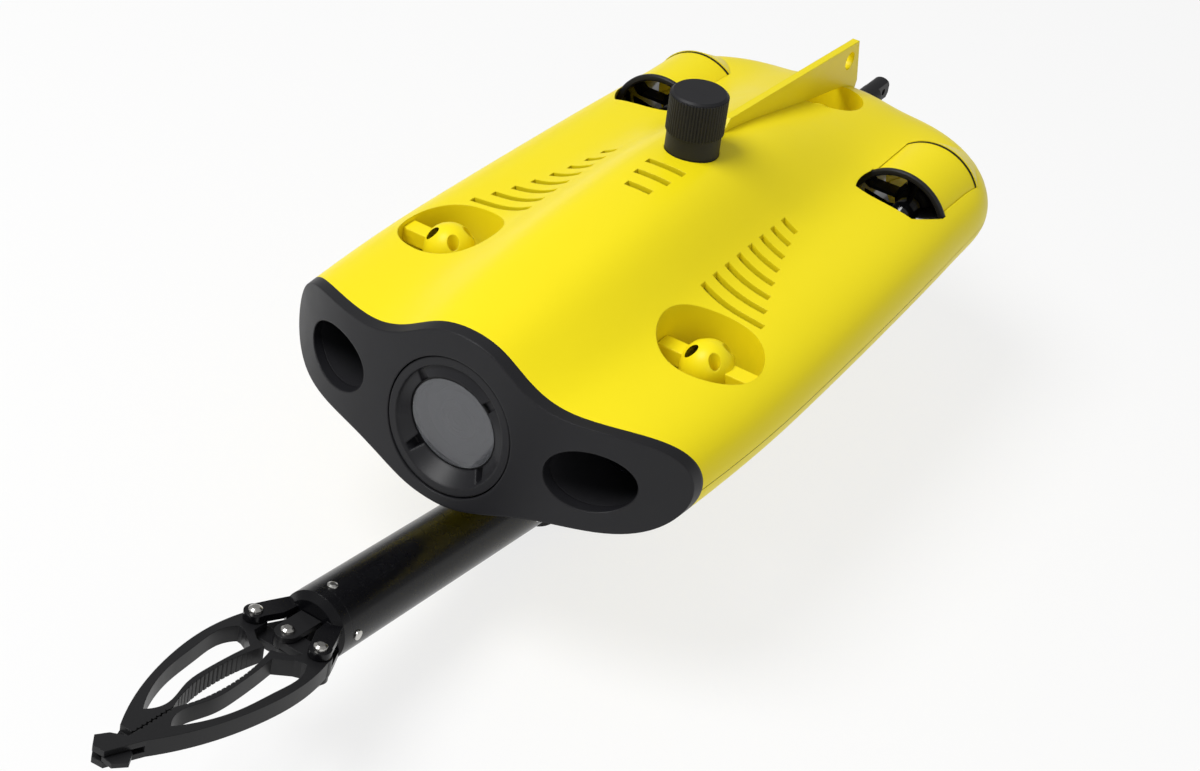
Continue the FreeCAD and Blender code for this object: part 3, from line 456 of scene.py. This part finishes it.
# ---------------------------------------------------------------- studio
FLOOR_REACH = 6.0
FLOOR_NOISE_SCALE = 3.0
FLOOR_ROUGHNESS = 0.9
FLOOR_WHITE_SHARE = 0.78
WORLD_STRENGTH = 0.36
LAMP_TARGET = (0.0, 0.0, 0.1)


def seen_white(tree, shader, share):
    """Lift a surface towards white for the camera and in reflections, without lighting the object."""
    rays = tree.nodes.new("ShaderNodeLightPath")
    camera_or_gloss = add_node(tree, "ShaderNodeMath", operation="MAXIMUM")
    tree.links.new(rays.outputs["Is Camera Ray"], camera_or_gloss.inputs[0])
    tree.links.new(rays.outputs["Is Glossy Ray"], camera_or_gloss.inputs[1])
    seen = add_node(tree, "ShaderNodeMath", operation="MAXIMUM")
    tree.links.new(camera_or_gloss.outputs[0], seen.inputs[0])
    tree.links.new(rays.outputs["Is Transmission Ray"], seen.inputs[1])
    amount = add_node(tree, "ShaderNodeMath", operation="MULTIPLY")
    amount.inputs[1].default_value = share
    tree.links.new(seen.outputs[0], amount.inputs[0])
    glow = tree.nodes.new("ShaderNodeEmission")
    mix = tree.nodes.new("ShaderNodeMixShader")
    tree.links.new(amount.outputs[0], mix.inputs[0])
    tree.links.new(shader.outputs["BSDF"], mix.inputs[1])
    tree.links.new(glow.outputs["Emission"], mix.inputs[2])
    output = next(node for node in tree.nodes if node.type == "OUTPUT_MATERIAL")
    tree.links.new(mix.outputs["Shader"], output.inputs["Surface"])


def stage_floor():
    """Plain white floor under the vehicle."""
    corners = [(-FLOOR_REACH, -FLOOR_REACH, 0), (FLOOR_REACH, -FLOOR_REACH, 0),
               (FLOOR_REACH, FLOOR_REACH, 0), (-FLOOR_REACH, FLOOR_REACH, 0)]
    floor = linked("floor", corners, [(0, 1, 2, 3)])
    material, tree, shader = new_material("floor_paper")
    tone = object_noise(tree, FLOOR_NOISE_SCALE)
    tree.links.new(blend_colours(tree, tone.outputs["Fac"], (0.9, 0.9, 0.9), (0.88, 0.88, 0.88)),
                   shader.inputs["Base Color"])
    shader.inputs["Roughness"].default_value = FLOOR_ROUGHNESS
    seen_white(tree, shader, FLOOR_WHITE_SHARE)
    floor.data.materials.append(material)


def area_light(name, place, size, power):
    """Round soft lamp that faces the vehicle."""
    light = bpy.data.lights.new(name, "AREA")
    light.shape = "DISK"
    light.size = size
    light.energy = power
    lamp = bpy.data.objects.new(name, light)
    lamp.location = place
    lamp.rotation_euler = (Vector(LAMP_TARGET) - Vector(place)).to_track_quat("-Z", "Y").to_euler()
    bpy.context.collection.objects.link(lamp)


stage_floor()
world = bpy.data.worlds.new("studio")
world.use_nodes = True
background = world.node_tree.nodes["Background"]
background.inputs["Color"].default_value = (1.0, 1.0, 1.0, 1.0)
background.inputs["Strength"].default_value = WORLD_STRENGTH
bpy.context.scene.world = world
area_light("key", (0.85, -0.75, 2.15), size=1.3, power=43.0)
area_light("fill", (1.3, 1.2, 0.9), size=1.0, power=3.0)
bpy.context.scene.view_settings.view_transform = "Standard"

# ---------------------------------------------------------------- camera at the photograph's angle
AZIMUTH, ELEVATION, ROLL = math.radians(29.0316), math.radians(35.6116), math.radians(7.4313)
CAMERA_FROM_WINDOW = Vector((0.573305, 0.388990, 0.525032))
SENSOR_WIDTH, FOCAL_LENGTH = 36.0, 59.214
NEAREST_SEEN = 0.01
towards = Vector((math.cos(ELEVATION) * math.cos(AZIMUTH), math.cos(ELEVATION) * math.sin(AZIMUTH),
                  math.sin(ELEVATION)))
level_right = Vector((-math.sin(AZIMUTH), math.cos(AZIMUTH), 0.0))
level_up = towards.cross(level_right)
right = level_right * math.cos(ROLL) + level_up * math.sin(ROLL)
up = level_up * math.cos(ROLL) - level_right * math.sin(ROLL)
camera_data = bpy.data.cameras.new("camera")
camera_data.sensor_fit = "HORIZONTAL"
camera_data.sensor_width = SENSOR_WIDTH
camera_data.lens = FOCAL_LENGTH
camera_data.clip_start = NEAREST_SEEN
camera = bpy.data.objects.new("camera", camera_data)
turn = Matrix((right, up, towards)).transposed().to_4x4()
camera.matrix_world = Matrix.Translation(window_face + CAMERA_FROM_WINDOW) @ turn
bpy.context.collection.objects.link(camera)
bpy.context.scene.camera = camera
